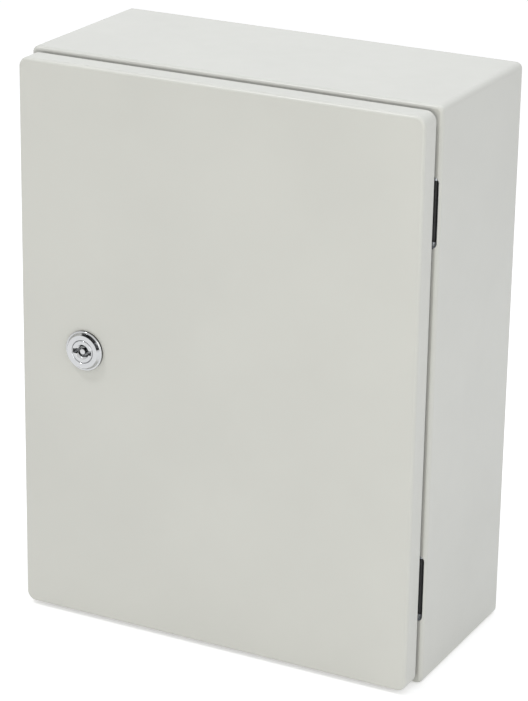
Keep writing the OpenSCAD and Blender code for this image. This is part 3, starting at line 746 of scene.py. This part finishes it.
class ENCLOSURE_OT_lock(PieceOperator, bpy.types.Operator):
    """Quarter-turn lock: threaded barrel with its head, insert, nut, screw and seals"""
    bl_idname = "enclosure.lock"
    bl_label = "Lock"

    def execute(self, context):
        size = context.scene.enclosure_hardware
        low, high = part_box("lock_housing")
        self.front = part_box("door")[0].y
        axis = ((low.x + high.x) / 2, self.front, (low.z + high.z) / 2)
        self.place = facing(axis, (0, -1, 0))
        self.head = (high.x - low.x) / 2
        self.back, self.top = levels("lock_housing", self.height)
        self.housing()
        self.insert()
        self.fixings(size)
        self.seals()
        return {"FINISHED"}

    def height(self, point):
        """How far a point stands in front of the door, along the lock's axis."""
        return self.front - point.y

    def lathe(self, node, look, shape, body, slot, sharp=34):
        """A shape drawn along the lock's axis, put in its place."""
        piece(node, look, repeat(shape, [self.place]), body, slot, sharp)

    def housing(self):
        """Head with a rounded edge, a narrow step and a steep cone, then the barrel with
        its thread, which two flats cut away, and the stepped bore for the insert."""
        radius = LOCK_THREAD[0]
        angles, turns = threaded(LOCK_THREAD, self.back, -THREAD_START, 144, 0.5)
        flat = 10 * MM / np.maximum(np.abs(np.cos(angles)), TINY)
        cut = np.minimum(radius, flat)
        shelf = 2.0 * MM
        half = (shelf - HEAD_LIFT) / 2
        edge = [(self.head - half + half * math.sin(t), HEAD_LIFT + half * (1 - math.cos(t)))
                for t in np.linspace(0, np.pi, 11)]
        foot, top = self.head - 1.1 * MM, self.head - 2.5 * MM
        soft, groove = 0.18 * MM, 0.42 * MM
        neck = 5.06 * MM
        rows = [(np.minimum(radius - 0.4 * MM, flat), self.back)]
        rows += [(np.minimum(r, flat), h) for r, h in turns[:-round(RUN_OUT * ROWS_PER_TURN)]]
        rows += [(cut, -THREAD_START), (cut, HEAD_LIFT)] + edge
        rows += [(foot + 0.7 * soft, shelf), (foot, shelf + 0.4 * soft),
                 (top + soft, self.top - 1.4 * soft), (top + 0.3 * soft, self.top - 0.4 * soft),
                 (top - soft, self.top), (BORE + groove, self.top),
                 (BORE + 0.04 * MM, self.top - groove), (BORE, self.top - 1.2 * groove),
                 (BORE, self.back + INSERT_STOP), (neck, self.back + INSERT_STOP),
                 (neck, self.back)]
        self.lathe("lock_housing", "turned", surface(turned(rows, angles), True), "door",
                   "chrome")

    def insert(self):
        """Turning insert. Round the axis, the key recess is the further of a circle and a
        slot, so its wall can be carried round in polar steps; a pin stands in it. Behind
        the seat come the neck, the square for the cam and the screw bore."""
        top, back = self.top, levels("lock_insert", self.height)[0]
        pin, recess, wing, reach = 2 * MM, 4 * MM, 1.6 * MM, 7.0 * MM
        floor = top - 9 * MM
        mouth, end = math.asin(wing / recess), math.atan2(wing, reach)
        soft = 0.02
        corners = [c + s * (a + d) for c in (0, np.pi) for s in (-1, 1)
                   for a in (mouth, end) for d in (-soft, 0, soft)]
        angles = steps(96, corners)
        slot = np.minimum(reach / np.maximum(np.abs(np.cos(angles)), TINY),
                          wing / np.maximum(np.abs(np.sin(angles)), TINY))
        wall = np.maximum(recess, slot)
        groove, neck, bore = 0.38 * MM, 5 * MM, 2.5 * MM
        seat = self.back + INSERT_STOP
        square = 3.5 * MM / np.maximum(np.abs(np.cos(angles)), np.abs(np.sin(angles)))
        cam_face = levels("lock_cam", self.height)[1]
        deep = back + 8.9 * MM
        rows = [(0, top - 0.6 * MM), (pin - 0.35 * MM, top - 0.6 * MM),
                (pin - 0.1 * MM, top - 0.7 * MM), (pin, top - 0.95 * MM),
                (pin, floor + 0.2 * MM), (pin + 0.2 * MM, floor),
                (wall - 0.25 * MM, floor), (wall, floor + 0.25 * MM), (wall, top - 1.2 * MM),
                (np.maximum(wall + 0.15 * MM, 5.2 * MM), top - 0.05 * MM),
                (np.maximum(wall + 0.2 * MM, 5.3 * MM), top),
                (INSERT - groove, top), (INSERT - 0.04 * MM, top - groove),
                (INSERT, top - 1.2 * groove), (INSERT, seat), (neck, seat),
                (neck, cam_face), (square, cam_face), (square, back), (bore, back),
                (bore, deep), (0, deep)]
        self.lathe("lock_insert", "turned", surface(turned(rows, angles)), "lock", "chrome")

    def fixings(self, size):
        """Hexagon nut, cam washer and socket screw."""
        nuts("lock_nut", LOCK_THREAD, 27 * MM, self.height, [self.place], "door", 120, 0.35)
        face, top = levels("cam_washer", self.height)
        washers("cam_washer", [self.place], "lock",
                washer(7.5 * MM, 2.55 * MM, face, top, size.around, size.edge))
        low, high = levels("cam_screw", self.height)
        head, shank = 4.25 * MM, 2.4 * MM
        angles = steps(72)
        socket = hexagon(3.9 * MM, angles)
        rows = [(0, low + 2.1 * MM), (socket * 0.7, low + 2.05 * MM),
                (socket, low + 1.9 * MM), (socket, low + 0.12 * MM),
                (socket + 0.12 * MM, low), (3.7 * MM, low), (4.1 * MM, low + 0.15 * MM),
                (head, low + 0.5 * MM), (head, face), (shank, face),
                (shank, high - 0.4 * MM), (2 * MM, high), (0, high)]
        self.lathe("cam_screw", "socket", surface(turned(rows, angles)), "lock",
                   "zinc_plated", 30)

    def seals(self):
        """Flat gasket under the head, drawn out until its edge shows, and the O-ring in
        the groove of the insert."""
        base = levels("lock_gasket", self.height)[0]
        ring = washer(self.head - 0.08 * MM, 11.2 * MM, base, HEAD_LIFT, 120, 0.2 * MM)
        self.lathe("lock_gasket", "rubber", ring, "door", "rubber", 60)
        low, high = levels("lock_oring", self.height)
        thick, middle, centre = (high - low) / 2, (low + high) / 2, INSERT - 0.58 * MM
        rows = [(centre + thick * math.cos(t), middle + thick * math.sin(t))
                for t in np.linspace(0, 2 * np.pi, 24, endpoint=False)]
        self.lathe("lock_oring", "rubber", surface(turned(rows, steps(96)), True), "lock",
                   "rubber", 60)


def seen_by(tree, *rays):
    """One where any of the named kinds of ray arrives and zero elsewhere: a chain of
    maximum nodes over the outputs of a light path node."""
    path = tree.nodes.new("ShaderNodeLightPath")
    seen = path.outputs[rays[0]]
    for ray in rays[1:]:
        node = tree.nodes.new("ShaderNodeMath")
        node.operation = "MAXIMUM"
        tree.links.new(seen, node.inputs[0])
        tree.links.new(path.outputs[ray], node.inputs[1])
        seen = node.outputs[0]
    return seen


def stage_sheet(name, points, faces, look):
    """Sheet of the stage, which is no part of the object."""
    mesh = bpy.data.meshes.new(name)
    mesh.from_pydata(points, [], faces)
    mesh.materials.append(look.material)
    obj = bpy.data.objects.new(name, mesh)
    bpy.context.scene.collection.objects.link(obj)
    obj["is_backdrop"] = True
    return obj


class ENCLOSURE_OT_studio(PieceOperator, bpy.types.Operator):
    """Pale floor, white surroundings, soft lamps and the camera"""
    bl_idname = "enclosure.studio"
    bl_label = "Studio"

    # The camera's own right and up directions, and the width of its sensor.
    right = (0.88646, 0.46255, 0.01517)
    up = (-0.17393, 0.30260, 0.93711)
    sensor = 36
    middle = (0, -0.07, 0)   # point in the middle of the body that three lamps face
    floor_half = 12.0
    floor_glow = 0.45        # share of the floor's white that only camera and mirrors see

    def execute(self, context):
        scene = context.scene
        size = scene.enclosure_studio
        scene.view_settings.view_transform = "Standard"
        self.world(scene, size.fill)
        self.floor(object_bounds()[0][2])
        self.lamp("key_lamp", (-1.06, -1.10, 2.44), (0.1, -0.15, 0.2), (0.36, 0.30),
                  size.key_power, (0.98, 0.99, 1.0))
        self.lamp("front_lamp", (0.60, -1.85, 0.20), self.middle, (0.7, 0.7),
                  size.front_power, (1.0, 0.99, 0.88))
        self.lamp("top_lamp", (0.1, 0.2, 1.9), self.middle, (1.4, 1.4),
                  size.top_power, (0.90, 0.95, 1.0))
        self.lamp("side_lamp", (1.53, -0.70, 0.72), self.middle, (1.2, 1.2),
                  size.side_power, (0.90, 0.94, 1.0))
        self.dark_card()
        self.camera(scene, size)
        return {"FINISHED"}

    def world(self, scene, strength):
        """White for the camera and for mirrors, and an even fill light for the rest."""
        world = bpy.data.worlds.new("surroundings")
        scene.world = world
        world.use_nodes = True
        tree = world.node_tree
        tree.nodes.clear()
        seen = seen_by(tree, "Is Camera Ray", "Is Glossy Ray", "Is Transmission Ray")
        mix = tree.nodes.new("ShaderNodeMixShader")
        tree.links.new(seen, mix.inputs[0])
        for socket, light in ((1, strength), (2, 1.0)):
            white = tree.nodes.new("ShaderNodeBackground")
            white.inputs["Color"].default_value = (1, 1, 1, 1)
            white.inputs["Strength"].default_value = light
            tree.links.new(white.outputs[0], mix.inputs[socket])
        out = tree.nodes.new("ShaderNodeOutputWorld")
        tree.links.new(mix.outputs[0], out.inputs["Surface"])

    def floor(self, level):
        """Pale floor: part of its white is seen by the camera and mirrors alone, and the
        rest is lit, so the object keeps its shadow on it."""
        look = Finish("floor_white", Roughness=0.9, Emission_Color=(1, 1, 1, 1))
        look.tint(look.noise(0.6), (0.80, 0.80, 0.80), (0.83, 0.83, 0.83))
        glow = look.add("ShaderNodeMath")
        glow.operation = "MULTIPLY"
        glow.inputs[1].default_value = self.floor_glow
        look.link(seen_by(look.tree, "Is Camera Ray", "Is Glossy Ray"), glow.inputs[0])
        look.link(glow.outputs[0], look.shader.inputs["Emission Strength"])
        corners = [(x * self.floor_half, y * self.floor_half, level)
                   for x, y in ((-1, -1), (1, -1), (1, 1), (-1, 1))]
        stage_sheet("floor", corners, [(0, 1, 2, 3)], look)

    def dark_card(self):
        """Dark card for mirrors alone: part of a drum round the lock's height, from the
        right over the top to the left, which only chrome and the bends reflect. A point
        is (x + r cos a, depth, r sin a)."""
        rows, columns = 8, 40
        x, radius = -0.1, 1.5
        turn = np.linspace(math.radians(3), math.radians(128), columns)[None, :]
        depth = np.linspace(0.02, -0.45, rows)[:, None] - 0.15
        points = np.stack(np.broadcast_arrays(
            x + radius * np.cos(turn), depth, radius * np.sin(turn)), axis=-1)
        look = Finish("card_black", Roughness=1.0, Specular_IOR_Level=0.0)
        look.tint(look.noise(0.5), (0.010, 0.010, 0.010), (0.014, 0.014, 0.014))
        obj = stage_sheet("dark_card", points.reshape(-1, 3).tolist(),
                          grid_faces(rows, columns, False, False).tolist(), look)
        obj.visible_camera = obj.visible_diffuse = obj.visible_shadow = False
        obj.visible_transmission = obj.visible_volume_scatter = False

    def lamp(self, name, place, target, sides, power, colour):
        """Rectangular lamp at a place, turned to face a target."""
        light = bpy.data.lights.new(name, "AREA")
        light.color = colour
        light.shape = "RECTANGLE"
        light.size, light.size_y = sides
        light.energy = power
        obj = bpy.data.objects.new(name, light)
        aim = (Vector(target) - Vector(place)).to_track_quat("-Z", "Y")
        obj.matrix_world = Matrix.Translation(place) @ aim.to_matrix().to_4x4()
        bpy.context.scene.collection.objects.link(obj)

    def camera(self, scene, size):
        """Camera from the three directions of its own frame: right, up and backward."""
        right, up = Vector(self.right), Vector(self.up)
        turn = Matrix((right, up, right.cross(up))).transposed()
        data = bpy.data.cameras.new("camera")
        data.lens = size.lens
        data.sensor_width = self.sensor
        data.clip_end = 50
        obj = bpy.data.objects.new("camera", data)
        obj.matrix_world = Matrix.Translation(size.eye) @ turn.to_4x4()
        scene.collection.objects.link(obj)
        scene.camera = obj


class ENCLOSURE_PT_panel(bpy.types.Panel):
    """Sizes, colours and pieces of the enclosure"""
    bl_idname = "ENCLOSURE_PT_panel"
    bl_label = "Enclosure"
    bl_space_type = "VIEW_3D"
    bl_region_type = "UI"
    bl_category = "Enclosure"

    def draw(self, context):
        """Each group of settings in a box, then a button for each operator."""
        for name, group in GROUPS.items():
            box = self.layout.box()
            for key in group.__annotations__:
                box.prop(getattr(context.scene, name), key)
        for operator in OPERATORS:
            self.layout.operator(operator.bl_idname)


OPERATORS = (
    ENCLOSURE_OT_finishes,
    ENCLOSURE_OT_plate_hardware,
    ENCLOSURE_OT_gland_hardware,
    ENCLOSURE_OT_earthing,
    ENCLOSURE_OT_hinge_hardware,
    ENCLOSURE_OT_door_seal,
    ENCLOSURE_OT_lock,
    ENCLOSURE_OT_studio,
)


def register():
    """Registers the classes and gives the scene its four groups of settings."""
    for cls in (*GROUPS.values(), *OPERATORS, ENCLOSURE_PT_panel):
        bpy.utils.register_class(cls)
    for name, group in GROUPS.items():
        setattr(bpy.types.Scene, name, PointerProperty(type=group))


def unregister():
    """Takes the settings and the classes away again."""
    for name in GROUPS:
        delattr(bpy.types.Scene, name)
    for cls in reversed((*GROUPS.values(), *OPERATORS, ENCLOSURE_PT_panel)):
        bpy.utils.unregister_class(cls)


def main():
    """Registers the classes, and makes every piece and the stage in order."""
    register()
    for operator in OPERATORS:
        group, name = operator.bl_idname.split(".")
        getattr(getattr(bpy.ops, group), name)()


if __name__ == "__main__":
    main()
